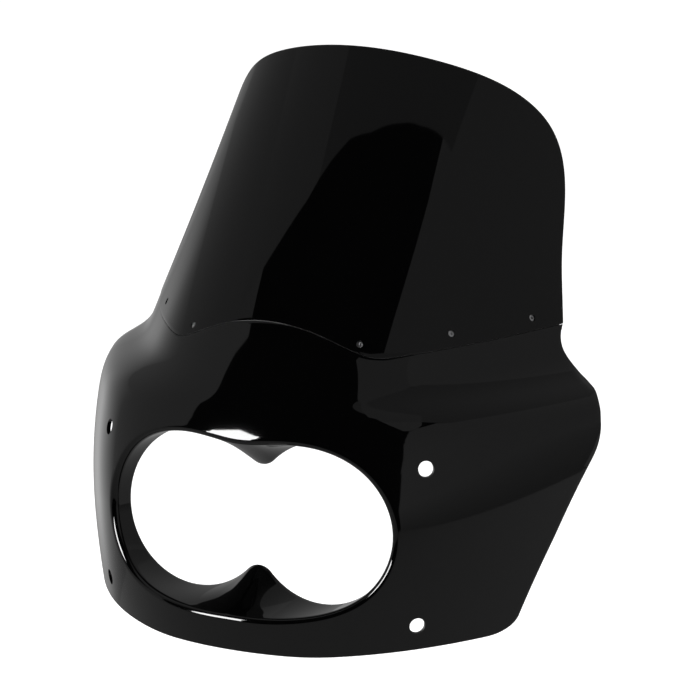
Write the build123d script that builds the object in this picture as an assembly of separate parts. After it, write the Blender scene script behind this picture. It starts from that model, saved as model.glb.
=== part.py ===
from build123d import *
import os
from math import cos, exp, log, pi, radians, sin, tan

# Handlebar fairing: a moulded shell with a twin-lamp opening, and a raked windshield on it.
# Millimetres and degrees. X is to the right, the front faces -Y and Z is up.
# The origin is the middle of the lamp opening, in the plane of the duct's rear rim.

# Walls and clearances
shell_wall = 4.0
duct_wall = 3.0
windshield_thickness = 4.0
windshield_proud = 0.6
ledge_gap = 0.25
seam_gap = 0.5

# Outer skin: at each height it is the curve y = nose + crown (x/span)^2 + flare (x/span)^4
sweep_span = 200.0
nose_set = -90.0
chin_angle = -10.8
windshield_rake = 35.75
brow_height = 35.0
brow_softness = 54.0
shoulder_height = 80.0
shoulder_crown = 53.0
tuck_rate = 0.093
neck_height = 120.0
neck_softness = 7.0
windshield_crown = 110.5
flank_flare = 29.5
windshield_flare_rate = 0.235
windshield_base = 150.0
windshield_base_softness = 10.0

# Edge of the shell in the front view: corners (x, z) and the radii that round them
chin_corner = (80.9, -117.7)
lower_corner = (231.1, -105.6)
flank_corner = (258.5, -17.1)
hip_corner = (282.3, 70.3)
shoulder_corner = (276.8, 108.2)
neck_corner = (227.8, 140.5)
chin_radius = 600.0
lower_radius = 23.0
flank_radius = 600.0
hip_radius = 90.0
shoulder_radius = 34.0
neck_radius = 60.0

# Seam between the shell and the windshield in the front view
seam_end = (225.2, 172.0)
seam_dip = (107.0, 157.5)
seam_peak = 201.0
seam_dip_radius = 50.0
seam_peak_radius = 176.0
ledge_overlap = 8.0
ledge_width = 26.0
ledge_inset = 1.5

# Edge of the windshield in the front view: its top, and places (x, z) from there to the seam
windshield_top = 432.4
windshield_edge = ((82.5, 421.9), (140.9, 396.2), (172.7, 363.4), (196.6, 304.4), (210.7, 232.9))

# Twin-lamp opening: lamp rim at the back of the duct, mouth (x, z) at the front
lamp_radius = 78.4
lamp_spacing = 137.4
lamp_lean = 3.7
rim_nose_radius = 18.0
mouth_top = 82.2
mouth_shoulder = (69.2, 83.0)
mouth_upper = (122.8, 61.8)
mouth_side = (152.6, 3.0)
mouth_lower = (133.1, -50.9)
mouth_foot = (70.2, -78.3)
mouth_bottom = -84.2
lip_radius = 5.5

# Fixing holes for the fork brackets, two each side
fork_hole_diameter = 15.3
fork_hole_places = ((174.6, 65.5), (170.7, -86.0))
fork_hole_angle = 42.0

# Windshield screws, three each side, with a washer and a lock nut behind the ledge
screw_places = ((91.4, 172.1), (158.1, 177.2), (206.2, 182.1))
screw_diameter = 4.0
screw_length = 14.0
screw_clearance = 0.3
head_diameter = 6.8
head_height = 1.0
head_recess = 1.5
socket_flats = 2.5
socket_depth = 1.6
washer_diameter = 9.0
washer_thickness = 0.8
washer_gap = 0.15
nut_flats = 7.0
nut_height = 5.0

# Working distances: past the edge of a trimmed face, past a drilled wall, and past the whole part
trim_margin = 12.0
drill_margin = 30.0
reach = 800.0


def knee(z, height, softness):
    """Nothing below the height and the distance above it, with a soft bend between."""
    return softness * log(1 + exp((z - height) / softness))


def front_y(x, z):
    """Depth of the outer skin at a place in the front view."""
    chin = tan(radians(chin_angle))
    rake = tan(radians(windshield_rake))
    nose = nose_set + chin * z + (rake - chin) * knee(z, brow_height, brow_softness)
    neck = 1 / (1 + exp((neck_height - z) / neck_softness))
    body_crown = shoulder_crown + tuck_rate * (shoulder_height - z)
    crown = body_crown + (windshield_crown - body_crown) * neck
    rise = knee(z, windshield_base, windshield_base_softness)
    sweep = abs(x) / sweep_span
    return nose + crown * sweep**2 + (flank_flare + windshield_flare_rate * rise) * sweep**4


def skin_normal(x, z, step=0.05):
    """Unit normal of the skin, pointing out of the front."""
    slope_x = (front_y(x + step, z) - front_y(x - step, z)) / (2 * step)
    slope_z = (front_y(x, z + step) - front_y(x, z - step)) / (2 * step)
    return Vector(slope_x, -1, slope_z).normalized()


def skin_point(x, z, depth=0.0):
    """Point of the skin, moved in along its normal by the depth."""
    return Vector(x, front_y(x, z), z) - skin_normal(x, z) * depth


def skin_face(low, high, depth=0.0, columns=17, rows=41):
    """The right half of the skin between two heights, moved in by the depth."""
    inner, outer = -trim_margin, hip_corner[0] + trim_margin
    bottom, top = low - trim_margin, high + trim_margin
    across = [inner + (outer - inner) * column / (columns - 1) for column in range(columns)]
    heights = [bottom + (top - bottom) * row / (rows - 1) for row in range(rows)]
    points = [[skin_point(x, z, depth) for x in across] for z in heights]
    return Face.make_surface_from_array_of_points(points)


def place(x, z):
    """A place in the front view as a point."""
    return Vector(x, 0, z)


def both_sides(edges):
    """The edges of one side and their mirror images."""
    return list(edges) + [edge.mirror(Plane.YZ) for edge in edges]


def sheet(face, edges, thickness):
    """The part of a face inside a front-view outline, thickened inwards along its normals."""
    outline = Face(Wire(edges)).moved(Location((0, -reach, 0)))
    trimmed = face & Solid.extrude(outline, Vector(0, 2 * reach, 0))
    return Solid.thicken(trimmed, thickness, normal_override=(0, 1, 0))


def seam_line(rise=0.0, inset=0.0):
    """The seam from the left end to the right end, raised, and shortened at both ends."""
    dip = place(seam_dip[0], seam_dip[1] + rise)
    end = place(seam_end[0], seam_end[1] + rise)
    end += (dip - end).normalized() * inset
    peak = place(0, seam_peak + rise)
    left = [place(-point.X, point.Z) for point in (end, dip)]
    radii = (seam_dip_radius, seam_peak_radius, seam_dip_radius)
    return FilletPolyline(*left, peak, dip, end, radius=radii)


def shell_outline():
    """Edge of the shell: chin, flanks, shoulders and necks, closed by the seam."""
    chin = (0, chin_corner[1])
    corners = [chin_corner, lower_corner, flank_corner, hip_corner, shoulder_corner, neck_corner]
    radii = (chin_radius, lower_radius, flank_radius, hip_radius, shoulder_radius, neck_radius)
    flank = FilletPolyline(*[place(*corner) for corner in [chin] + corners + [seam_end]], radius=radii)
    return both_sides(flank.edges()) + list(seam_line().edges())


def windshield_outline():
    """Edge of the windshield: an arched top with large corners, long sides and the seam."""
    end = place(seam_end[0], seam_end[1] + seam_gap)
    points = [place(x, z) for x, z in ((0, windshield_top),) + windshield_edge] + [end]
    side = Spline(*points, tangents=(Vector(1, 0, 0), (end - points[-2]).normalized()))
    return both_sides(side.edges()) + list(seam_line(seam_gap).edges())


def ledge_outline():
    """Band along the seam, from under the shell's edge to under the windshield.

    Its ends lean in with the sides of the windshield and stay behind them.
    """
    side_x, side_z = windshield_edge[-1]
    lean = (seam_end[0] - side_x) / (side_z - seam_end[1])
    low, high = [seam_line(rise, ledge_inset + lean * rise) for rise in (-ledge_overlap, ledge_width)]
    return list(low.edges()) + list(high.edges()) + both_sides([Line(low @ 1, high @ 1).edge()])


def rim_half():
    """Right half of the lamp rim: most of a circle, between two noses that point at each other."""
    lamp = place(lamp_spacing / 2, 0)
    reach = lamp_radius + rim_nose_radius
    nose = place(0, (reach**2 - lamp.X**2) ** 0.5)
    tangent = nose + (lamp - nose) * (rim_nose_radius / reach)
    tip = nose - Vector(0, 0, rim_nose_radius)
    bend = nose + (tip + tangent - nose * 2).normalized() * rim_nose_radius
    upper = [tip, bend, tangent]
    lower = [Vector(p.X, 0, -p.Z) for p in reversed(upper)]
    lobe = [tangent, lamp + Vector(lamp_radius, 0, 0), lower[0]]
    return Wire([ThreePointArc(*points).edge() for points in (upper, lobe, lower)])


def mouth_half():
    """Right half of the front edge of the opening."""
    sides = [mouth_shoulder, mouth_upper, mouth_side, mouth_lower, mouth_foot]
    points = [place(x, z) for x, z in [(0, mouth_top)] + sides + [(0, mouth_bottom)]]
    return Spline(*points, tangents=(Vector(1, 0, 0), Vector(-1, 0, 0)))


def duct_section(plane, grow, count=33):
    """Half section of the duct at a distance behind the rim's plane, grown outwards.

    Straight lines run from the rim to the mouth on the skin, and the section is where they
    cross the plane.
    """
    lean = tan(radians(lamp_lean))
    rim, mouth = rim_half(), mouth_half()
    shares = [(1 - cos(pi * step / (count - 1))) / 2 for step in range(count)]
    section = []
    for share in shares:
        back, front = rim @ share, mouth @ share
        line = skin_point(front.X, front.Z) - Vector(back.X, lean * back.Z, back.Z)
        along = plane / (line.Y - lean * line.Z)
        section.append(place(back.X + along * line.X, back.Z + along * line.Z))
    runs = [after - before for before, after in zip(section[:-2], section[2:])]
    sideways = [Vector(-run.Z, 0, run.X).normalized() for run in runs]
    outwards = [Vector(0, 0, 1)] + sideways + [Vector(0, 0, -1)]
    grown = [point + outward * grow for point, outward in zip(section, outwards)]
    tilted = [Vector(point.X, plane + lean * point.Z, point.Z) for point in grown]
    return Edge.make_spline(tilted, parameters=shares)


def duct_core(grow, rear):
    """Closed solid that fills the duct, grown outwards, from before the skin to the rear plane."""
    ends = [duct_section(nose_set - trim_margin, grow), duct_section(rear, grow)]
    wall = Face.make_surface_from_curves(*ends)
    caps = [Face(Wire([end, end.mirror(Plane.YZ)])) for end in ends]
    return Solid(Shell([wall, wall.mirror(Plane.YZ)] + caps))


def right_half(shape):
    """What lies on the right of the middle plane."""
    return shape & Box(reach, 2 * reach, 2 * reach, align=(Align.MIN, Align.CENTER, Align.CENTER))


def whole(half):
    """A right half joined to its mirror image."""
    return half + half.mirror(Plane.YZ)


def fork_holes():
    """Drills for the two fixing holes of the right side, square to the flank between them."""
    turn = radians(fork_hole_angle)
    outwards = Vector(sin(turn), -cos(turn), 0)
    drills = []
    for x, z in fork_hole_places:
        start = Plane(skin_point(x, z) - outwards * drill_margin, z_dir=outwards)
        drills.append(Solid.make_cylinder(fork_hole_diameter / 2, 2 * drill_margin, start))
    return drills


def screw_planes():
    """Planes at the six screws, in the windshield's outer face, with Z out of the front."""
    planes = []
    for x, z in screw_places:
        for side in (x, -x):
            planes.append(Plane(skin_point(side, z, -windshield_proud), z_dir=skin_normal(side, z)))
    return planes


def turned(profile, plane):
    """A solid turned about a plane's Z axis from a list of (radius, height) points."""
    face = make_face(Polyline(*[(radius, 0, height) for radius, height in profile], close=True))
    return plane * revolve(face, Axis.Z)


def screw_drill(plane):
    """Stepped clearance hole for a screw and its head, through the windshield and the ledge."""
    hole = (screw_diameter + screw_clearance) / 2
    head = (head_diameter + screw_clearance) / 2
    bottom, seat, top = -drill_margin, -head_recess - head_height, shell_wall
    step = [(hole, seat), (head, seat)]
    return turned([(0, bottom), (hole, bottom)] + step + [(head, top), (0, top)], plane)


def windshield_screw(plane):
    """Screw with a thin flat head and a six-sided socket, sunk below the windshield's face."""
    shank, head = screw_diameter / 2, head_diameter / 2
    top, seat = -head_recess, -head_recess - head_height
    tip = seat - screw_length
    body = turned([(0, tip), (shank, tip), (shank, seat), (head, seat), (head, top), (0, top)], plane)
    socket = RegularPolygon(socket_flats / 2, 6, major_radius=False)
    return body - extrude(plane.offset(top) * socket, -socket_depth)


def washer_depth():
    """Depth of the washer's face below the windshield's outer face."""
    return windshield_thickness + ledge_gap + shell_wall + washer_gap


def screw_washer(plane):
    """Flat washer behind the ledge."""
    hole = (screw_diameter + screw_clearance) / 2
    top = -washer_depth()
    bottom = top - washer_thickness
    rim = washer_diameter / 2
    return turned([(hole, bottom), (rim, bottom), (rim, top), (hole, top)], plane)


def lock_nut(plane):
    """Six-sided nut behind the washer."""
    face = plane.offset(-washer_depth() - washer_thickness)
    hole = Circle((screw_diameter + screw_clearance) / 2)
    blank = RegularPolygon(nut_flats / 2, 6, major_radius=False) - hole
    return extrude(face * blank, -nut_height)


def fairing_shell():
    """Moulded shell: skin, windshield ledge and lamp duct in one piece, with its holes."""
    low, high = chin_corner[1], seam_peak + ledge_width
    skin = skin_face(low, high)
    behind = Solid.extrude(skin, Vector(0, reach, 0))
    core = duct_core(0, duct_wall)
    duct = (duct_core(duct_wall, 0) - core) & behind
    ledge_depth = windshield_thickness - windshield_proud + ledge_gap
    ledge_skin = skin_face(seam_dip[1] - ledge_overlap, high, ledge_depth)
    ledge = sheet(ledge_skin, ledge_outline(), shell_wall)
    half = right_half(sheet(skin, shell_outline(), shell_wall) - core + duct + ledge)
    behind_lip = skin_point(mouth_side[0] + lip_radius, mouth_side[1], shell_wall)
    for radius, spot in ((lip_radius - shell_wall, behind_lip), (lip_radius, skin_point(*mouth_side))):
        half = half.fillet(radius, [half.edges().sort_by_distance(spot)[0]])
    return whole(half - fork_holes() - [screw_drill(plane) for plane in screw_planes()[::2]])


def windshield():
    """Formed sheet above the seam, with stepped screw holes."""
    skin = skin_face(seam_dip[1], windshield_top, -windshield_proud)
    half = sheet(skin, windshield_outline(), windshield_thickness)
    return whole(right_half(half) - [screw_drill(plane) for plane in screw_planes()[::2]])


def group(make):
    """The same fastener at each of the six screws."""
    return Compound([make(plane).solid() for plane in screw_planes()])


os.makedirs("parts", exist_ok=True)
export_step(fairing_shell(), "parts/fairing_shell.step")
export_step(windshield(), "parts/windshield.step")
export_step(group(windshield_screw), "parts/windshield_screws.step")
export_step(group(screw_washer), "parts/screw_washers.step")
export_step(group(lock_nut), "parts/lock_nuts.step")
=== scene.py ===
from math import cos, pi, radians, sqrt, tan

import bpy
import numpy as np
from mathutils import Matrix, Vector


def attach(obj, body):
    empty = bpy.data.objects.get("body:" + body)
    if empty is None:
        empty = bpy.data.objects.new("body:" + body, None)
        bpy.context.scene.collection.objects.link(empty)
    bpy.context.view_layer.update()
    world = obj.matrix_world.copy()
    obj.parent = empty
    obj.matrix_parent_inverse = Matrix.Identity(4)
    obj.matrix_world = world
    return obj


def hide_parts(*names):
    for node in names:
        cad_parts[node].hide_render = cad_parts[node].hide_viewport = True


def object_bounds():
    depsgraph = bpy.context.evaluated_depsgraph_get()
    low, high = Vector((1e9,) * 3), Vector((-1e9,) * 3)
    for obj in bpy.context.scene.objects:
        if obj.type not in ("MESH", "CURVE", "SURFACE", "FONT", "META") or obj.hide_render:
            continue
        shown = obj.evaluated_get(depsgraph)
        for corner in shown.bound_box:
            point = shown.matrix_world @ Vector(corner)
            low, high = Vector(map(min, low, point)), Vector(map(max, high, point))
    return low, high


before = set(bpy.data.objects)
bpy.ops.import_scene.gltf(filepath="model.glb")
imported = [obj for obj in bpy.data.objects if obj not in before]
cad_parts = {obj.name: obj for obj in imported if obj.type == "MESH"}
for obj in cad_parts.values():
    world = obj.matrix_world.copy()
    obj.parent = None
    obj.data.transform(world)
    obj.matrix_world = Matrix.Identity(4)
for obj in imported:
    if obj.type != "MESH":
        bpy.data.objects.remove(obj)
cad_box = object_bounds()

# Fairing shell: one moulded piece of ABS plastic in high-gloss black, with a wall of four millimetres.
# Its skin, the duct behind the twin-lamp opening and the ledge for the windshield are one wall.
# Four plain holes take the fork brackets, and six small ones in the ledge take the screws.

sweep_span = 0.200
nose_set = -0.090
chin_slope = tan(radians(-10.8))
rake_slope = tan(radians(35.75))
brow_height, brow_softness = 0.035, 0.054
shoulder_height, shoulder_crown, tuck_rate = 0.080, 0.053, 0.093
neck_height, neck_softness = 0.120, 0.007
windshield_crown, flank_flare, windshield_flare_rate = 0.1105, 0.0295, 0.235
windshield_base, windshield_base_softness = 0.150, 0.010


def knee(z, height, softness):
    """Nothing below the height and the distance above it, with a soft bend between."""
    return softness * np.logaddexp(0, (z - height) / softness)


def skin_y(x, z):
    """Depth of the outer skin at places in the front view."""
    nose = nose_set + chin_slope * z + (rake_slope - chin_slope) * knee(z, brow_height, brow_softness)
    neck = 1 / (1 + np.exp((neck_height - z) / neck_softness))
    body_crown = shoulder_crown + tuck_rate * (shoulder_height - z)
    crown = body_crown + (windshield_crown - body_crown) * neck
    flare = flank_flare + windshield_flare_rate * knee(z, windshield_base, windshield_base_softness)
    sweep = np.abs(x) / sweep_span
    return nose + crown * sweep**2 + flare * sweep**4


def skin_normal(x, z, step=5e-5):
    """Unit normals of the skin, out of the front."""
    slope_x = (skin_y(x + step, z) - skin_y(x - step, z)) / (2 * step)
    slope_z = (skin_y(x, z + step) - skin_y(x, z - step)) / (2 * step)
    normal = np.stack([slope_x, -np.ones_like(slope_x), slope_z], -1)
    return normal / np.linalg.norm(normal, axis=-1, keepdims=True)


def skin_points(x, z, depth=0.0):
    """Points of the skin, moved in along its normals by the depth."""
    x, z = np.asarray(x, float), np.asarray(z, float)
    return np.stack([x, skin_y(x, z), z], -1) - skin_normal(x, z) * depth


def rounded_path(corners, radii, step=2e-4):
    """Close points (x, z) along straight runs whose corners are rounded by the radii."""
    corners = [np.array(corner, float) for corner in corners]
    points = [corners[0]]
    for before, corner, after, radius in zip(corners, corners[1:], corners[2:], radii):
        arrive = (corner - before) / np.linalg.norm(corner - before)
        leave = (after - corner) / np.linalg.norm(after - corner)
        turn = np.arccos(np.clip(arrive @ leave, -1, 1))
        start, end = corner - arrive * radius * tan(turn / 2), corner + leave * radius * tan(turn / 2)
        inward = (end - start) - arrive * ((end - start) @ arrive)
        inward /= np.linalg.norm(inward)
        angles = np.linspace(0, turn, max(3, int(radius * turn / step)))[:, None]
        points += list(start + radius * (np.sin(angles) * arrive + (1 - np.cos(angles)) * inward))
    return np.array(points + [corners[-1]])


def smooth_path(points, first_way, last_way, step=2e-4):
    """Close points along a smooth curve through places (x, z), with its ways at both ends given."""
    points = np.array(points, float)
    spans = np.linalg.norm(np.diff(points, axis=0), axis=1)
    count = len(points)
    system, known = np.eye(count), np.zeros((count, 2))
    known[0], known[-1] = first_way, last_way
    for i in range(1, count - 1):
        system[i, i - 1:i + 2] = spans[i], 2 * (spans[i - 1] + spans[i]), spans[i - 1]
        known[i] = 3 * (spans[i] / spans[i - 1] * (points[i] - points[i - 1])
                        + spans[i - 1] / spans[i] * (points[i + 1] - points[i]))
    ways = np.linalg.solve(system, known)
    run = []
    for i in range(count - 1):
        t = np.linspace(0, 1, max(3, int(spans[i] / step)))[:-1, None]
        run.append((2 * t**3 - 3 * t**2 + 1) * points[i] + (t**3 - 2 * t**2 + t) * spans[i] * ways[i]
                   + (3 * t**2 - 2 * t**3) * points[i + 1] + (t**3 - t**2) * spans[i] * ways[i + 1])
    return np.concatenate(run + [points[-1:]])


def lengths_along(path):
    """Distance along a path to each of its points."""
    return np.concatenate([[0], np.cumsum(np.linalg.norm(np.diff(path, axis=0), axis=1))])


def spread(path, shares):
    """Points of a path at shares of its length."""
    along = lengths_along(path)
    return np.stack([np.interp(np.asarray(shares) * along[-1], along, side) for side in path.T], -1)


def both_halves(half):
    """A right half (x first), from the bottom to the top, and its mirror image back to the bottom."""
    return np.concatenate([half, (half * ([-1] + [1] * (half.shape[1] - 1)))[-2::-1]])


chin_corner, lower_corner, flank_corner = (0.0809, -0.1177), (0.2311, -0.1056), (0.2585, -0.0171)
hip_corner, shoulder_corner, neck_corner = (0.2823, 0.0703), (0.2768, 0.1082), (0.2278, 0.1405)
edge_radii = (0.600, 0.023, 0.600, 0.090, 0.034, 0.060)
seam_end, seam_dip, seam_peak = (0.2252, 0.1720), (0.107, 0.1575), (0.0, 0.201)
seam_radii = (0.050, 0.176, 0.050)
flank_columns, seam_columns = 160, 70

seam_left = [(-x, z) for x, z in (seam_end, seam_dip)]
seam = rounded_path(seam_left + [seam_peak, seam_dip, seam_end], seam_radii)
flank = rounded_path([(0, chin_corner[1]), chin_corner, lower_corner, flank_corner, hip_corner,
                      shoulder_corner, neck_corner, seam_end], edge_radii)
seam_from_end = seam[seam[:, 0] >= 0][::-1]
outline = np.concatenate([spread(flank, np.linspace(0, 1, flank_columns + 1)),
                          spread(seam_from_end, np.linspace(0, 1, seam_columns + 1))[1:]])
outline[-1, 0] = 0

mouth_places = [(0, -0.0842), (0.0702, -0.0783), (0.1331, -0.0509), (0.1526, 0.003), (0.1228, 0.0618),
                (0.0692, 0.0830), (0, 0.0822)]
mouth_path = smooth_path(mouth_places, (1, 0), (-1, 0))
lip_radius = 0.0055
lamp_radius, lamp_spacing, lamp_lean, rim_nose_radius = 0.0784, 0.1374, tan(radians(3.7)), 0.018
lamp_reach = lamp_radius + rim_nose_radius
nose_centre = sqrt(lamp_reach**2 - (lamp_spacing / 2) ** 2)
nose_turn = np.arctan2(lamp_spacing / 2, nose_centre)
nose_steps, lobe_steps = 60, 400
nose_angles = np.linspace(0, nose_turn, nose_steps)[:, None]
lower_nose = (np.array([0, -nose_centre])
              + rim_nose_radius * np.hstack([np.sin(nose_angles), np.cos(nose_angles)]))
lobe_turn = pi / 2 + nose_turn
lobe_angles = np.linspace(-lobe_turn, lobe_turn, lobe_steps)[:, None]
lobe = np.array([lamp_spacing / 2, 0]) + lamp_radius * np.hstack([np.cos(lobe_angles), np.sin(lobe_angles)])
upper_nose = lower_nose[::-1] * [1, -1]
rim_path = np.concatenate([lower_nose[:-1], lobe[:-1], upper_nose])

outline_turn = np.arctan2(outline[:, 0], -outline[:, 1])
mouth_turn = np.arctan2(mouth_path[:, 0], -mouth_path[:, 1])
mouth_share = np.interp(outline_turn, mouth_turn, lengths_along(mouth_path))
mouth_share /= lengths_along(mouth_path)[-1]
mouth = spread(mouth_path, mouth_share)
rim = spread(rim_path, mouth_share)

duct_rows, lip_rows, skin_rows = 12, 12, 44
rim_points = np.stack([rim[:, 0], lamp_lean * rim[:, 1], rim[:, 1]], -1)
mouth_points = skin_points(mouth[:, 0], mouth[:, 1])
duct_way = rim_points - mouth_points
duct_way /= np.linalg.norm(duct_way, axis=1, keepdims=True)
small_share = 0.02
just_outside = mouth + (outline - mouth) * small_share
out_way = skin_points(*just_outside.T) - mouth_points
out_way /= np.linalg.norm(out_way, axis=1, keepdims=True)
mouth_angle = np.arccos((duct_way * out_way).sum(1, keepdims=True))
setback = lip_radius / np.tan(mouth_angle / 2)
lip_start = mouth_points + duct_way * setback
skin_start = mouth + (out_way * setback)[:, [0, 2]]
lip_end = skin_points(*skin_start.T)

rows = [rim_points + (lip_start - rim_points) * share for share in np.linspace(0, 1, duct_rows + 1)]
weight = np.sin(mouth_angle / 2)
for t in np.linspace(0, 1, lip_rows + 1)[1:]:
    low, middle, high = (1 - t) ** 2, 2 * t * (1 - t) * weight, t**2
    rows.append((low * lip_start + middle * mouth_points + high * lip_end) / (low + middle + high))
for share in np.linspace(0, 1, skin_rows + 1)[1:]:
    rows.append(skin_points(*(skin_start + (outline - skin_start) * share).T))
shell_grid = np.stack([both_halves(row) for row in rows])


def sheet_from_rows(name, grid):
    """A grid primitive laid on rows of points, merged where they meet, as the active object."""
    row_count, column_count = grid.shape[:2]
    bpy.ops.object.select_all(action="DESELECT")
    bpy.ops.mesh.primitive_grid_add(x_subdivisions=column_count - 1, y_subdivisions=row_count - 1, size=1)
    piece = bpy.context.object
    piece.name = piece.data.name = name
    flat = np.empty(len(piece.data.vertices) * 3)
    piece.data.vertices.foreach_get("co", flat)
    flat = flat.reshape(-1, 3)
    column = np.rint((flat[:, 0] + 0.5) * (column_count - 1)).astype(int)
    row = np.rint((flat[:, 1] + 0.5) * (row_count - 1)).astype(int)
    piece.data.vertices.foreach_set("co", grid[row, column].ravel())
    piece.data.update()
    bpy.ops.object.mode_set(mode="EDIT")
    bpy.ops.mesh.select_all(action="SELECT")
    bpy.ops.mesh.remove_doubles(threshold=1e-6)
    bpy.ops.object.mode_set(mode="OBJECT")
    return piece


def face_forward(piece, place):
    """Turn the faces of a sheet so that the one nearest a place looks out of the front."""
    nearest = min(piece.data.polygons, key=lambda face: (face.center - Vector(place)).length)
    if nearest.normal.y > 0:
        bpy.ops.object.mode_set(mode="EDIT")
        bpy.ops.mesh.select_all(action="SELECT")
        bpy.ops.mesh.flip_normals()
        bpy.ops.object.mode_set(mode="OBJECT")


def finish_with(piece, kind, **settings):
    """Add a modifier to a piece and apply it."""
    bpy.ops.object.select_all(action="DESELECT")
    piece.select_set(True)
    bpy.context.view_layer.objects.active = piece
    modifier = piece.modifiers.new(kind.lower(), kind)
    for setting, value in settings.items():
        setattr(modifier, setting, value)
    bpy.ops.object.modifier_apply(modifier=modifier.name)


def round_edges(piece, width, segments):
    """Round the sharp edges of a piece by the width."""
    finish_with(piece, "BEVEL", width=width, segments=segments, limit_method="ANGLE",
                angle_limit=radians(50))


shell = sheet_from_rows("fairing_shell", shell_grid)
face_forward(shell, skin_points(x=0.2, z=0.0))

shell_wall, duct_wall = 0.004, 0.003
wall = shell.vertex_groups.new(name="wall")
for vertex in shell.data.vertices:
    x, y, z = vertex.co
    behind_lip = y - skin_y(x, z) > lip_radius
    wall.add([vertex.index], duct_wall / shell_wall if behind_lip else 1, "REPLACE")

ledge_depth, ledge_width, ledge_inset = 0.00365, 0.026, 0.0005
windshield_side = (0.2107, 0.2329)
side_lean = (seam_end[0] - windshield_side[0]) / (windshield_side[1] - seam_end[1])
ledge_rows, near = 8, 1e-4
bpy.ops.object.mode_set(mode="EDIT")
bpy.ops.mesh.select_mode(type="VERT")
bpy.ops.mesh.select_all(action="DESELECT")
bpy.ops.object.mode_set(mode="OBJECT")
for vertex in shell.data.vertices:
    on_seam = abs(vertex.co.z - np.interp(vertex.co.x, *seam.T)) < near
    vertex.select = bool(on_seam and abs(vertex.co.x) < seam_end[0] + near)
ledge_base = np.array(sorted(vertex.co.x for vertex in shell.data.vertices if vertex.select))
for rise in [0.0] + list(np.linspace(0, ledge_width, ledge_rows + 1)[1:]):
    bpy.ops.object.mode_set(mode="EDIT")
    bpy.ops.mesh.select_mode(type="EDGE")
    bpy.ops.mesh.extrude_edges_move()
    bpy.ops.mesh.select_mode(type="VERT")
    bpy.ops.object.mode_set(mode="OBJECT")
    new_row = sorted((vertex for vertex in shell.data.vertices if vertex.select), key=lambda v: v.co.x)
    across = ledge_base * (1 - (ledge_inset + side_lean * rise) / ledge_base[-1])
    for vertex, place in zip(new_row, skin_points(across, np.interp(across, *seam.T) + rise, ledge_depth)):
        vertex.co = place

finish_with(shell, "SOLIDIFY", thickness=shell_wall, offset=-1, use_even_offset=True, vertex_group="wall")
shell_edge_round = 0.0003
round_edges(shell, shell_edge_round, 2)

fork_hole_radius, fork_hole_turn = 0.00765, radians(42)
fork_hole_places = ((0.1746, 0.0655), (0.1707, -0.0860))
screw_places = ((0.0914, 0.1721), (0.1581, 0.1772), (0.2062, 0.1821))
screw_hole_radius = 0.00215


def drill(piece, radius, place, axis, length=0.06, sides=64):
    """Cut a round hole, centred on a place along an axis, into a piece."""
    turn = Vector(axis).to_track_quat("Z", "Y").to_euler()
    bpy.ops.object.select_all(action="DESELECT")
    bpy.ops.mesh.primitive_cylinder_add(vertices=sides, radius=radius, depth=length, location=place,
                                        rotation=turn)
    drill_bit = bpy.context.object
    finish_with(piece, "BOOLEAN", operation="DIFFERENCE", solver="EXACT", object=drill_bit)
    bpy.data.objects.remove(drill_bit)


for side in (1, -1):
    hole_axis = (side * np.sin(fork_hole_turn), -np.cos(fork_hole_turn), 0)
    for x, z in fork_hole_places:
        drill(shell, fork_hole_radius, skin_points(side * x, z), hole_axis)
    for x, z in screw_places:
        face, out = skin_points(side * x, z), skin_normal(side * x, z)
        drill(shell, screw_hole_radius, face, out, length=0.03, sides=32)

crease_angle = radians(35)
bpy.ops.object.shade_smooth_by_angle(angle=crease_angle)


def gloss_black(name, colour, roughness, specular, wave_scale, wave_depth):
    """Gloss black plastic: faintly uneven polish and the slight waviness of a moulded face."""
    material = bpy.data.materials.new(name)
    material.use_nodes = True
    nodes, links = material.node_tree.nodes, material.node_tree.links
    shader = nodes["Principled BSDF"]
    shader.inputs["IOR"].default_value = 1.5
    shader.inputs["Specular IOR Level"].default_value = specular
    place = nodes.new("ShaderNodeTexCoord")
    cloud = nodes.new("ShaderNodeTexNoise")
    cloud.inputs["Scale"].default_value = 14
    cloud.inputs["Detail"].default_value = 4
    links.new(place.outputs["Object"], cloud.inputs["Vector"])
    polish = nodes.new("ShaderNodeMapRange")
    polish.inputs["To Min"].default_value = roughness * 0.7
    polish.inputs["To Max"].default_value = roughness * 1.3
    links.new(cloud.outputs["Fac"], polish.inputs["Value"])
    links.new(polish.outputs["Result"], shader.inputs["Roughness"])
    tint = nodes.new("ShaderNodeMix")
    tint.data_type = "RGBA"
    tint.inputs["A"].default_value = (*colour, 1)
    tint.inputs["B"].default_value = (*[channel * 1.5 for channel in colour], 1)
    links.new(cloud.outputs["Fac"], tint.inputs["Factor"])
    links.new(tint.outputs["Result"], shader.inputs["Base Color"])
    wave = nodes.new("ShaderNodeTexNoise")
    wave.inputs["Scale"].default_value = wave_scale
    wave.inputs["Detail"].default_value = 1
    links.new(place.outputs["Object"], wave.inputs["Vector"])
    bump = nodes.new("ShaderNodeBump")
    bump.inputs["Strength"].default_value = 0.25
    bump.inputs["Distance"].default_value = wave_depth
    links.new(wave.outputs["Fac"], bump.inputs["Height"])
    links.new(bump.outputs["Normal"], shader.inputs["Normal"])
    return material


shell_black = gloss_black("shell_gloss_black", (0.0008, 0.0008, 0.00085), roughness=0.04, specular=0.5,
                          wave_scale=40, wave_depth=0.00002)
shell.data.materials.clear()
shell.data.materials.append(shell_black)
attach(shell, "root")
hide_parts("fairing_shell")

# Windshield: one sheet of opaque black acrylic, heat-formed to the curve of the shell's top.
# It lies on the ledge, stands a little proud of the shell, and is held by six sunk screws.
# Its sawn edge is scraped to a small round and left a little dull.

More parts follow.
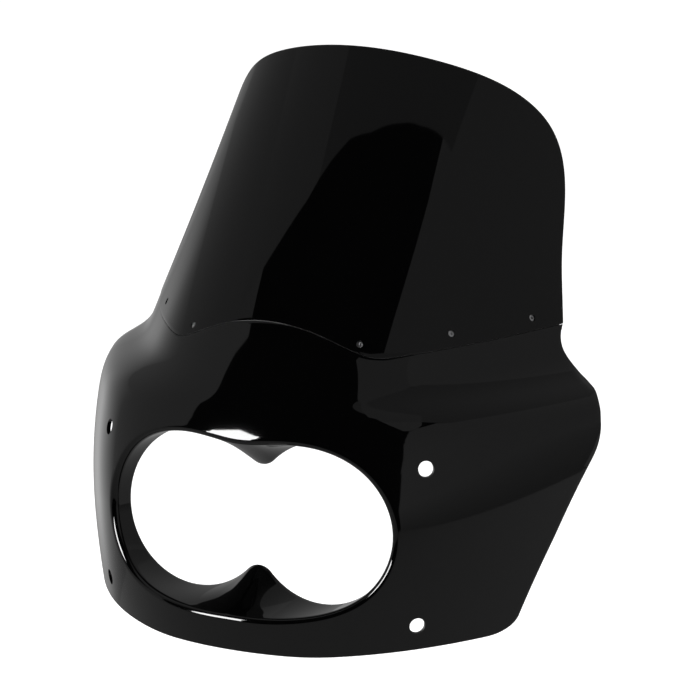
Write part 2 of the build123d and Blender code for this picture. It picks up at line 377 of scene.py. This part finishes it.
windshield_top = (0, 0.4324)
windshield_edge = ((0.0825, 0.4219), (0.1409, 0.3962), (0.1727, 0.3634), (0.1966, 0.3044), windshield_side)
windshield_corner = windshield_edge[2]
seam_gap, windshield_proud, windshield_thickness = 0.0005, 0.0006, 0.004
windshield_columns, windshield_rows = 110, 90

lower_edge = seam + [0, seam_gap]
side_way = lower_edge[-1] - windshield_side
top_half = smooth_path([windshield_top, *windshield_edge, lower_edge[-1]], (1, 0),
                       side_way / np.linalg.norm(side_way))
split = np.argmin(np.linalg.norm(top_half - windshield_corner, axis=1))
upper_edge = np.concatenate([(top_half[:split + 1] * [-1, 1])[::-1], top_half[1:split + 1]])
right_edge = top_half[split:][::-1]
left_edge = right_edge * [-1, 1]

across = np.linspace(0, 1, windshield_columns + 1)[:, None]
up = np.linspace(0, 1, windshield_rows + 1)[:, None, None]
bottom_row, top_row = spread(lower_edge, across.ravel()), spread(upper_edge, across.ravel())
left_column, right_column = [spread(edge, up.ravel())[:, None, :] for edge in (left_edge, right_edge)]
blended = ((1 - up) * bottom_row + up * top_row + (1 - across) * left_column + across * right_column
           - (1 - up) * ((1 - across) * bottom_row[0] + across * bottom_row[-1])
           - up * ((1 - across) * top_row[0] + across * top_row[-1]))
windshield = sheet_from_rows("windshield", skin_points(blended[..., 0], blended[..., 1], -windshield_proud))
face_forward(windshield, skin_points(x=0.0, z=0.3))
finish_with(windshield, "SOLIDIFY", thickness=windshield_thickness, offset=-1, use_even_offset=True)
windshield_edge_round = 0.0004
round_edges(windshield, windshield_edge_round, 3)

head_room, head_seat, bit_length = 0.00355, 0.0025, 0.02
for side in (1, -1):
    for x, z in screw_places:
        face, out = skin_points(side * x, z, -windshield_proud), skin_normal(side * x, z)
        drill(windshield, screw_hole_radius, face, out, bit_length, sides=32)
        drill(windshield, head_room, face + out * (bit_length / 2 - head_seat), out, bit_length, sides=48)

bpy.ops.object.shade_smooth_by_angle(angle=crease_angle)

sawn_tilt, screw_clearance = radians(18), 2 * head_room
faces = windshield.data.polygons
centres, normals = np.empty(len(faces) * 3), np.empty(len(faces) * 3)
faces.foreach_get("center", centres)
faces.foreach_get("normal", normals)
centres, normals = centres.reshape(-1, 3), normals.reshape(-1, 3)
level_with_skin = np.abs((normals * skin_normal(centres[:, 0], centres[:, 2])).sum(1))
screw_points = np.array([skin_points(side * x, z) for side in (1, -1) for x, z in screw_places])
from_screws = np.linalg.norm(centres[:, None] - screw_points, axis=2).min(1)
is_sawn = (level_with_skin < cos(sawn_tilt)) & (from_screws > screw_clearance)
sawn = windshield.data.attributes.new("sawn", "FLOAT", "FACE")
sawn.data.foreach_set("value", is_sawn.astype(float))


def change_where_marked(material, mark, changes):
    """Give the faces that carry a mark other values in the shader's sockets."""
    nodes, links = material.node_tree.nodes, material.node_tree.links
    shader = nodes["Principled BSDF"]
    marked = nodes.new("ShaderNodeAttribute")
    marked.attribute_name = mark
    for socket, value in changes.items():
        mix = nodes.new("ShaderNodeMix")
        mix.data_type = "RGBA" if socket == "Base Color" else "FLOAT"
        links.new(marked.outputs["Fac"], mix.inputs["Factor"])
        plain = shader.inputs[socket]
        if plain.is_linked:
            links.new(plain.links[0].from_socket, mix.inputs["A"])
        else:
            mix.inputs["A"].default_value = plain.default_value
        mix.inputs["B"].default_value = value
        links.new(mix.outputs["Result"], plain)


acrylic = gloss_black("windshield_black", (0.0008, 0.0008, 0.00085), roughness=0.03, specular=0.36,
                      wave_scale=25, wave_depth=0.00001)
change_where_marked(acrylic, "sawn", {"Base Color": (0.05, 0.05, 0.05, 1), "Roughness": 0.5})
windshield.data.materials.clear()
windshield.data.materials.append(acrylic)
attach(windshield, "root")
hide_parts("windshield")

# Windshield screws: six small cap screws of dull steel with a thin head and a hex socket.
# Each head sits in its stepped hole below the windshield's face, and the thread goes through the ledge.

head_top, head_height, head_radius, head_round = -0.0015, 0.001, 0.0034, 0.0002
socket_flats, socket_depth, socket_chamfer = 0.0025, 0.0016, 0.00012
thread_radius, thread_depth, thread_pitch = 0.002, 0.0004, 0.0007
plain_shank, screw_length = 0.0006, 0.014
screw_sides, rows_per_turn = 36, 8

around = np.linspace(0, 2 * pi, screw_sides + 1)
hex_radius = socket_flats / 2 / np.cos((around + pi / 6) % (pi / 3) - pi / 6)
socket_floor, seat = head_top - socket_depth, head_top - head_height
tip = seat - screw_length


def ring(radius, z):
    """One ring of points round the screw's axis."""
    return np.stack([radius * np.cos(around), radius * np.sin(around), np.full_like(around, z)], -1)


rings = [ring(0, socket_floor), ring(hex_radius, socket_floor), ring(hex_radius, head_top - socket_chamfer),
         ring(hex_radius + socket_chamfer, head_top), ring(head_radius - head_round, head_top),
         ring(head_radius - 0.3 * head_round, head_top - 0.3 * head_round),
         ring(head_radius, head_top - head_round), ring(head_radius, seat + head_round / 2),
         ring(head_radius - head_round / 2, seat), ring(thread_radius, seat),
         ring(thread_radius, seat - plain_shank)]
thread_end = tip + thread_depth
for z in np.arange(seat - plain_shank - thread_pitch, thread_end, -thread_pitch / rows_per_turn):
    turn_share = (z / thread_pitch + around / (2 * pi)) % 1
    rings.append(ring(thread_radius - thread_depth * np.abs(2 * turn_share - 1), z))
rings += [ring(thread_radius - thread_depth, tip), ring(0, tip)]
screw = sheet_from_rows("windshield_screws", np.stack(rings))


def face_outward(piece):
    """Turn the faces of a closed piece outwards."""
    bpy.ops.object.mode_set(mode="EDIT")
    bpy.ops.mesh.select_all(action="SELECT")
    bpy.ops.mesh.normals_make_consistent(inside=False)
    bpy.ops.object.mode_set(mode="OBJECT")


def fit_at_screws(piece):
    """Copy a fastener, modelled along the z axis below the origin, to the six screws, as one object."""
    copies = []
    for side in (1, -1):
        for x, z in screw_places:
            copy = piece.copy()
            copy.data = piece.data.copy()
            bpy.context.scene.collection.objects.link(copy)
            turn = Vector(skin_normal(side * x, z)).to_track_quat("Z", "Y").to_matrix().to_4x4()
            copy.data.transform(Matrix.Translation(skin_points(side * x, z, -windshield_proud)) @ turn)
            copies.append(copy)
    name = piece.name
    bpy.data.objects.remove(piece)
    bpy.ops.object.select_all(action="DESELECT")
    for copy in copies:
        copy.select_set(True)
    bpy.context.view_layer.objects.active = copies[0]
    bpy.ops.object.join()
    joined = bpy.context.object
    joined.name = joined.data.name = name
    return joined


def dull_metal(name, colour, roughness):
    """Plain metal with a faintly mottled, brushed-down finish."""
    material = bpy.data.materials.new(name)
    material.use_nodes = True
    nodes, links = material.node_tree.nodes, material.node_tree.links
    shader = nodes["Principled BSDF"]
    shader.inputs["Metallic"].default_value = 1
    place = nodes.new("ShaderNodeTexCoord")
    mottle = nodes.new("ShaderNodeTexNoise")
    mottle.inputs["Scale"].default_value = 900
    mottle.inputs["Detail"].default_value = 3
    links.new(place.outputs["Object"], mottle.inputs["Vector"])
    finish = nodes.new("ShaderNodeMapRange")
    finish.inputs["To Min"].default_value = roughness * 0.75
    finish.inputs["To Max"].default_value = roughness * 1.25
    links.new(mottle.outputs["Fac"], finish.inputs["Value"])
    links.new(finish.outputs["Result"], shader.inputs["Roughness"])
    tint = nodes.new("ShaderNodeMix")
    tint.data_type = "RGBA"
    tint.inputs["A"].default_value = (*[channel * 0.8 for channel in colour], 1)
    tint.inputs["B"].default_value = (*[channel * 1.2 for channel in colour], 1)
    links.new(mottle.outputs["Fac"], tint.inputs["Factor"])
    links.new(tint.outputs["Result"], shader.inputs["Base Color"])
    return material


face_outward(screw)
bpy.ops.object.shade_smooth_by_angle(angle=crease_angle)
screws = fit_at_screws(screw)
screws.data.materials.clear()
screws.data.materials.append(dull_metal("screw_dull_steel", (0.58, 0.58, 0.59), roughness=0.42))
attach(screws, "root")
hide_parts("windshield_screws")

# Screw washers: six flat stamped rings of zinc-plated steel behind the ledge, under the nuts.
# The stamping leaves their rims slightly rounded.

washer_radius, washer_thickness, washer_depth, washer_round = 0.0045, 0.0008, 0.0084, 0.00012


def add_cylinder(name, radius, low, high, sides=64):
    """A plain cylinder along the z axis, as a start."""
    bpy.ops.object.select_all(action="DESELECT")
    bpy.ops.mesh.primitive_cylinder_add(vertices=sides, radius=radius, depth=high - low,
                                        location=(0, 0, (low + high) / 2))
    cylinder = bpy.context.object
    cylinder.name = cylinder.data.name = name
    bpy.ops.object.transform_apply()
    return cylinder


washer = add_cylinder("screw_washers", washer_radius, -washer_thickness / 2, washer_thickness / 2)
drill(washer, screw_hole_radius, (0, 0, 0), (0, 0, 1), length=0.01, sides=48)
round_edges(washer, washer_round, 2)
washer.data.transform(Matrix.Translation((0, 0, -washer_depth - washer_thickness / 2)))
bpy.ops.object.shade_smooth_by_angle(angle=crease_angle)
washers = fit_at_screws(washer)
washers.data.materials.clear()
washers.data.materials.append(dull_metal("washer_zinc", (0.58, 0.58, 0.57), roughness=0.32))
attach(washers, "root")
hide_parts("screw_washers")

# Lock nuts: six zinc-plated hex nuts, each with a round collar that grips a nylon ring.
# They are screwed on behind the washers, and the end of each screw stands out of the ring.

nut_flats, nut_height, hex_height, nut_chamfer = 0.007, 0.005, 0.0038, 0.0004
collar_radius, collar_round, nylon_radius, nylon_sink = 0.0031, 0.0005, 0.0025, 0.0003
corner_radius = nut_flats / 2 / cos(pi / 6)

turned_blank = add_cylinder("turned_blank", corner_radius, -hex_height, 0)
round_edges(turned_blank, nut_chamfer, 1)
nut = add_cylinder("lock_nuts", corner_radius, -hex_height, 0, sides=6)
finish_with(nut, "BOOLEAN", operation="INTERSECT", solver="EXACT", object=turned_blank)
bpy.data.objects.remove(turned_blank)

collar = add_cylinder("collar", collar_radius, -nut_height, 0)
round_edges(collar, collar_round, 4)
finish_with(nut, "BOOLEAN", operation="UNION", solver="EXACT", object=collar)
bpy.data.objects.remove(collar)
drill(nut, nylon_radius, (0, 0, -nut_height), (0, 0, 1), length=2 * (nut_height - hex_height), sides=48)
drill(nut, screw_hole_radius, (0, 0, -nut_height / 2), (0, 0, 1), length=0.02, sides=48)

nylon_ring = add_cylinder("nylon_ring", nylon_radius, nylon_sink - nut_height, -hex_height, sides=48)
drill(nylon_ring, screw_hole_radius, (0, 0, -nut_height / 2), (0, 0, 1), length=0.02, sides=48)
for piece, is_nylon in ((nut, 0.0), (nylon_ring, 1.0)):
    nylon = piece.data.attributes.new("nylon", "FLOAT", "FACE")
    nylon.data.foreach_set("value", [is_nylon] * len(piece.data.polygons))
bpy.ops.object.select_all(action="DESELECT")
nylon_ring.select_set(True)
nut.select_set(True)
bpy.context.view_layer.objects.active = nut
bpy.ops.object.join()
nut.data.transform(Matrix.Translation((0, 0, -washer_depth - washer_thickness)))
bpy.ops.object.shade_smooth_by_angle(angle=crease_angle)
nuts = fit_at_screws(nut)

nut_metal = dull_metal("nut_zinc_and_nylon", (0.58, 0.58, 0.57), roughness=0.30)
change_where_marked(nut_metal, "nylon", {"Base Color": (0.75, 0.74, 0.70, 1), "Metallic": 0.0})
nuts.data.materials.clear()
nuts.data.materials.append(nut_metal)
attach(nuts, "root")
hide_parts("lock_nuts")

# Floor: a plain white sheet well below the part, which takes its shadow.
# It glows for the camera, in reflections and through glass, so that the background is white.

floor_height, floor_size = cad_box[0].z - 0.3, 24
bpy.ops.object.select_all(action="DESELECT")
bpy.ops.mesh.primitive_plane_add(size=floor_size, location=(0, 0, floor_height))
floor = bpy.context.object
floor.name = "floor"


def in_plain_sight(nodes, links):
    """One for what the camera sees, also in reflections and through glass, and nothing for other light."""
    rays = nodes.new("ShaderNodeLightPath")
    sight = rays.outputs["Is Camera Ray"]
    for kind in ("Is Glossy Ray", "Is Transmission Ray"):
        either = nodes.new("ShaderNodeMath")
        either.operation = "MAXIMUM"
        links.new(sight, either.inputs[0])
        links.new(rays.outputs[kind], either.inputs[1])
        sight = either.outputs["Value"]
    return sight


floor_white = bpy.data.materials.new("floor_white")
floor_white.use_nodes = True
nodes, links = floor_white.node_tree.nodes, floor_white.node_tree.links
paint = nodes["Principled BSDF"]
paint.inputs["Base Color"].default_value = (0.85, 0.85, 0.85, 1)
paint.inputs["Roughness"].default_value = 0.9
paint.inputs["Emission Color"].default_value = (0.7, 0.7, 0.7, 1)
links.new(in_plain_sight(nodes, links), paint.inputs["Emission Strength"])
floor.data.materials.append(floor_white)

# Surround: white to the camera, in reflections and through glass.
# For the light on the part it is a softer, even fill.

world = bpy.data.worlds.new("studio")
bpy.context.scene.world = world
world.use_nodes = True
nodes, links = world.node_tree.nodes, world.node_tree.links
surround = nodes["Background"]
surround.inputs["Color"].default_value = (1, 1, 1, 1)
strength = nodes.new("ShaderNodeMapRange")
strength.inputs["To Min"].default_value = 0.4
strength.inputs["To Max"].default_value = 1.0
links.new(in_plain_sight(nodes, links), strength.inputs["Value"])
links.new(strength.outputs["Result"], surround.inputs["Strength"])

# Light tent: lit cloth walls, a floor and a low roof round the part, open in front, as its gloss shows them.
# Only reflections meet the cloth, so that the view and the light on the part stay plain.


def lit_cloth(name, level, y_run=(0, 1), y_light=(0, 0), z_run=(0, 1), z_share=(1, 1)):
    """Lit cloth, whose light may change from front to back and from hem to top."""
    material = bpy.data.materials.new(name)
    material.use_nodes = True
    nodes, links = material.node_tree.nodes, material.node_tree.links
    nodes.remove(nodes["Principled BSDF"])
    shine = nodes.new("ShaderNodeEmission")
    links.new(shine.outputs["Emission"], nodes["Material Output"].inputs["Surface"])
    place = nodes.new("ShaderNodeTexCoord")
    axes = nodes.new("ShaderNodeSeparateXYZ")
    links.new(place.outputs["Object"], axes.inputs["Vector"])
    changes = []
    for axis, run, ends in (("Y", y_run, y_light), ("Z", z_run, z_share)):
        change = nodes.new("ShaderNodeMapRange")
        for socket, value in zip(("From Min", "From Max", "To Min", "To Max"), (*run, *ends)):
            change.inputs[socket].default_value = value
        links.new(axes.outputs[axis], change.inputs["Value"])
        changes.append(change.outputs["Result"])
    total = nodes.new("ShaderNodeMath")
    total.operation = "MULTIPLY_ADD"
    links.new(changes[0], total.inputs[0])
    links.new(changes[1], total.inputs[1])
    total.inputs[2].default_value = level
    links.new(total.outputs["Value"], shine.inputs["Strength"])
    return material


def hang(name, corners, material):
    """A flat sheet of the stage, seen in reflections alone."""
    bpy.ops.object.select_all(action="DESELECT")
    bpy.ops.mesh.primitive_circle_add(vertices=len(corners), radius=1, fill_type="NGON")
    sheet = bpy.context.object
    sheet.name = name
    for vertex, corner in zip(sheet.data.vertices, corners):
        vertex.co = corner
    sheet.data.materials.append(material)
    sheet.visible_camera = sheet.visible_diffuse = sheet.visible_transmission = sheet.visible_shadow = False


def lay(name, height, outline, material):
    """A level sheet of the stage, from its outline in the top view."""
    hang(name, [(x, y, height) for x, y in outline], material)


right_side, left_side, tent_back = 2.5, -3.6, 3.0
tent_floor, wall_top = floor_height + 0.015, 4.0
cloth_run, right_light, left_light, floor_light = (-2.5, 2.5), (0.32, 0.21), (0.30, 0.17), (0.185, 0.38)
hem_run, hem_share, back_level = (tent_floor, 0.1), (0.57, 1), 0.23
right_wall = [(-2.25, tent_floor), (-2.3, 0.3), (-2.46, 1.0), (-2.6, 1.93), (-1.43, 2.94), (-1.1, 3.3),
              (-0.6, wall_top), (tent_back, wall_top), (tent_back, tent_floor)]
left_wall = [(-2.7, tent_floor), (-2.6, 2.4), (-2.2, 2.92), (-2.35, 3.3), (-2.8, wall_top),
             (tent_back, wall_top), (tent_back, tent_floor)]
back_wall = [(left_side, tent_floor), (right_side, tent_floor), (right_side, wall_top), (left_side, wall_top)]
tent_ground = [(left_side, -2.6), (right_side, -2.25), (right_side, tent_back), (left_side, tent_back)]
hang("tent_right_wall", [(right_side, y, z) for y, z in right_wall],
     lit_cloth("right_cloth", 0, cloth_run, right_light, hem_run, hem_share))
hang("tent_left_wall", [(left_side, y, z) for y, z in left_wall],
     lit_cloth("left_cloth", 0, cloth_run, left_light))
hang("tent_back", [(x, tent_back, z) for x, z in back_wall], lit_cloth("back_cloth", back_level))

roof_height, roof_back, roof_level, left_roof_level = 0.95, 1.2, 0.188, 0.265
left_seam, right_seam = (-0.32, -0.28), (0.715, -0.06)
roof_front = [left_seam, (-0.25, -0.257), (-0.145, -0.233), (0, -0.226), (0.2, -0.193), (0.37, -0.158),
              (0.46, -0.133), (0.615, -0.088), right_seam]
left_roof_front = [(-0.95, -0.415), (-0.56, -0.345), (-0.38, -0.305), left_seam]
right_roof_front = [right_seam, (0.63, -0.1), (0.68, -0.243), (0.72, -0.41), (0.78, -0.58), (1.1, -1.02),
                    (2.6, -2.6)]
for name, front, cloth in (
        ("tent_roof", roof_front, lit_cloth("roof_cloth", roof_level)),
        ("tent_roof_left", left_roof_front, lit_cloth("left_roof_cloth", left_roof_level)),
        ("tent_roof_right", right_roof_front, lit_cloth("right_roof_cloth", 0, cloth_run, right_light))):
    lay(name, roof_height, front + [(front[-1][0], roof_back), (front[0][0], roof_back)], cloth)
lay("tent_floor", tent_floor, tent_ground, lit_cloth("floor_cloth", 0, cloth_run, floor_light))

# Side glow: an upright cloth behind the part on the left, brightest in its middle and fading to all sides.
# It is the soft light along the shell's left edge, and only reflections meet it.

glow_top, glow_waist, glow_level, glow_light = 0.36, -0.2, 0.235, 0.75
glow_start, glow_middle, glow_end = (-0.975, 0.08), (-0.735, 0.40), (-0.555, 0.64)
glow_widths = (("near", (glow_start, glow_middle), (0.12, 0.38), (0, glow_light)),
               ("far", (glow_middle, glow_end), (0.42, 0.56), (glow_light, 0.15)))
glow_heights = (("low", (tent_floor, glow_waist), (tent_floor, glow_waist), (0, 1)),
                ("high", (glow_waist, glow_top), (0, glow_top), (1, 0)))
for width_name, foot, y_run, y_light in glow_widths:
    for height_name, (hem, head), z_run, z_share in glow_heights:
        name = f"glow_{width_name}_{height_name}"
        hang("tent_" + name, [(x, y, hem) for x, y in foot] + [(x, y, head) for x, y in foot[::-1]],
             lit_cloth(name + "_cloth", glow_level, y_run, y_light, z_run, z_share))

# Shoulder cards: two small level cards close over the right shoulder.
# They show as the even grey of the groove below the windshield, and only reflections meet them.

fill_height, fill_front, fill_back = 0.205, (0.1555, -0.0364), (0.203, 0.004)
fill_left = [(0.183, 0.0285), (0.1655, 0.0205), (0.149, 0.0105), (0.1335, 0.001), (0.118, -0.0105),
             (0.1165, -0.017), (0.1271, -0.0268), (0.1309, -0.0312), (0.1422, -0.0292)]
fill_right = [(0.2185, -0.0673), (0.231, -0.0614), (0.2285, -0.0345), (0.2175, -0.012)]
fill_left_level, fill_right_level = 0.235, 0.272
lay("fill_left", fill_height, [fill_back, *fill_left, fill_front],
    lit_cloth("fill_left_cloth", fill_left_level))
lay("fill_right", fill_height, [fill_front, *fill_right, fill_back],
    lit_cloth("fill_right_cloth", fill_right_level))

# Dark room: near-black sheets in front of the tent, beside it, over it and under it.
# They keep what shows past the cloth dark, and only reflections meet them.

room_x, room_y, room_z = (-5.0, 5.0), (-5.0, tent_back), (tent_floor - 0.01, 5.0)
room_level, square = 0.004, ((0, 0), (1, 0), (1, 1), (0, 1))
dark = lit_cloth("dark_room", room_level)
hang("room_front", [(room_x[i], room_y[0], room_z[j]) for i, j in square], dark)
for name, z in zip(("room_floor", "room_top"), room_z):
    lay(name, z, [(room_x[i], room_y[j]) for i, j in square], dark)
for name, x in zip(("room_left", "room_right"), room_x):
    hang(name, [(x, room_y[i], room_z[j]) for i, j in square], dark)

# Softbox: one bright panel in the open front of the tent, on the left.
# It gives the white glints on the lip, and only reflections meet it.

softbox_y, softbox_level = -1.6, 24
softbox = [(-1.45, 0.1), (-1.5, 1.2), (-1.05, 1.215), (-0.75, 1.13), (-0.6, 0.1)]
hang("softbox", [(x, softbox_y, z) for x, z in softbox], lit_cloth("softbox_cloth", softbox_level))

# Lamps: two large soft lamps high on both sides, turned to the middle of the part.
# Reflections don't show them.

lamp_side, lamp_y, lamp_height, lamp_size, lamp_power = 3.2, -0.8, 1.8, 1.8, 60
lamp_aim = Vector((0, 0.05, 0.15))
for name, x in (("lamp_right", lamp_side), ("lamp_left", -lamp_side)):
    light = bpy.data.lights.new(name, "AREA")
    light.size, light.energy = lamp_size, lamp_power
    lamp = bpy.data.objects.new(name, light)
    bpy.context.scene.collection.objects.link(lamp)
    lamp.location = (x, lamp_y, lamp_height)
    lamp.rotation_euler = (lamp_aim - lamp.location).to_track_quat("-Z", "Y").to_euler()
    lamp.visible_glossy = False

# Camera: a long lens at the photograph's height and side.
# It stands in front of the part on the right and looks slightly down.

camera_turn, camera_tilt = radians(27.7659), radians(12.9088)
camera_data = bpy.data.cameras.new("camera")
camera_data.lens, camera_data.sensor_width = 164.57, 36
camera_data.clip_end = 50
camera = bpy.data.objects.new("camera", camera_data)
bpy.context.scene.collection.objects.link(camera)
camera.location = (1.46182, -2.59239, 0.84467)
camera.rotation_euler = (pi / 2 - camera_tilt, 0, camera_turn)
bpy.context.scene.camera = camera
bpy.context.scene.view_settings.view_transform = "Standard"
